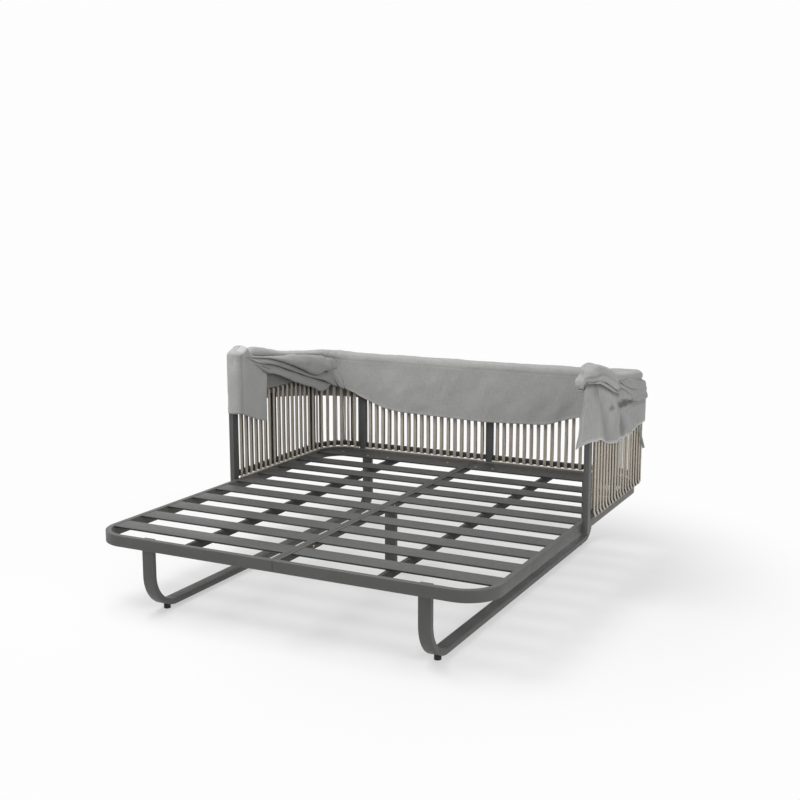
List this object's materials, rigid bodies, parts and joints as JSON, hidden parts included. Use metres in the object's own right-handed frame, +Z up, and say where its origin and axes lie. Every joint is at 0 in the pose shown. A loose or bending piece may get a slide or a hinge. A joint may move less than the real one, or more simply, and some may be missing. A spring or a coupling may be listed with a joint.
{
  "type": "outdoor daybed with folding canopy",
  "caption": "Wide outdoor daybed frame on sled legs: slatted platform, rope-wound wall round arms and back, and a fabric canopy on hinged bows, folded back.",
  "frame": {"origin": "on the floor under the middle of the centre leg's foot, on the seam line", "axes": "+X to the right seen from the front, +Y to the back, +Z up"},
  "size_m": [1.983, 2.1427, 1.0691],
  "materials": {
    "frame_coating": "matte textured powder coat, warm anthracite",
    "rope": "braided beige and taupe rope",
    "canopy_fabric": "plain-weave mid grey outdoor fabric",
    "brass": "satin brass-coloured fasteners",
    "glide_rubber": "black moulded glide"
  },
  "bodies": {
    "frame": {"right_outer_rail": "frame_coating", "left_outer_rail": "frame_coating", "right_seam_rail": "frame_coating", "left_seam_rail": "frame_coating", "right_mid_bar": "frame_coating", "left_mid_bar": "frame_coating", "right_slat_1": "frame_coating", "left_slat_1": "frame_coating", "right_slat_2": "frame_coating", "left_slat_2": "frame_coating", "right_slat_3": "frame_coating", "left_slat_3": "frame_coating", "right_slat_4": "frame_coating", "left_slat_4": "frame_coating", "right_slat_5": "frame_coating", "left_slat_5": "frame_coating", "right_slat_6": "frame_coating", "left_slat_6": "frame_coating", "right_slat_7": "frame_coating", "left_slat_7": "frame_coating", "right_slat_8": "frame_coating", "left_slat_8": "frame_coating", "right_slat_9": "frame_coating", "left_slat_9": "frame_coating", "right_back_plate": "frame_coating", "left_back_plate": "frame_coating", "right_sled": "frame_coating", "left_sled": "frame_coating", "right_front_glide": "glide_rubber", "left_front_glide": "glide_rubber", "right_rear_glide": "glide_rubber", "left_rear_glide": "glide_rubber", "right_front_post": "frame_coating", "left_front_post": "frame_coating", "right_thin_post_1": "frame_coating", "left_thin_post_1": "frame_coating", "right_thin_post_2": "frame_coating", "left_thin_post_2": "frame_coating", "right_arm_bottom_rail": "frame_coating", "left_arm_bottom_rail": "frame_coating", "right_arm_ropes": "rope", "left_arm_ropes": "rope", "right_pivot_bolt": "brass", "left_pivot_bolt": "brass", "centre_leg": "frame_coating", "wall_top_rail": "frame_coating", "back_left_bottom_rail": "frame_coating", "back_right_bottom_rail": "frame_coating", "back_left_post": "frame_coating", "back_middle_post": "frame_coating", "back_right_post": "frame_coating", "back_right_ropes": "rope", "back_left_ropes": "rope"},
    "rear_bow": {"rear_bow": "frame_coating", "canopy_rear_skirt": "canopy_fabric"},
    "middle_bow": {"middle_bow": "frame_coating", "right_canopy_side_cloth": "canopy_fabric", "left_canopy_side_cloth": "canopy_fabric"},
    "front_bow": {"front_bow": "frame_coating", "canopy_roof_cloth": "canopy_fabric"}
  },
  "joints": [
    {"name": "rear_bow_hinge", "type": "hinge", "parent": "frame", "child": "rear_bow", "pos_m": [0, 0.066, 0.985], "axis": [1, 0, 0], "range_deg": [0, 38], "deforming": ["canopy_rear_skirt"]},
    {"name": "middle_bow_hinge", "type": "hinge", "parent": "rear_bow", "child": "middle_bow", "pos_m": [0, 0.066, 0.985], "axis": [1, 0, 0], "range_deg": [0, 38], "deforming": ["right_canopy_side_cloth", "left_canopy_side_cloth"]},
    {"name": "front_bow_hinge", "type": "hinge", "parent": "middle_bow", "child": "front_bow", "pos_m": [0, 0.066, 0.985], "axis": [1, 0, 0], "range_deg": [0, 38], "deforming": ["canopy_roof_cloth"]}
  ],
  "couplings": [
    {"joint": "middle_bow_hinge", "follows": "rear_bow_hinge", "ratio": 1},
    {"joint": "front_bow_hinge", "follows": "rear_bow_hinge", "ratio": 1}
  ]
}
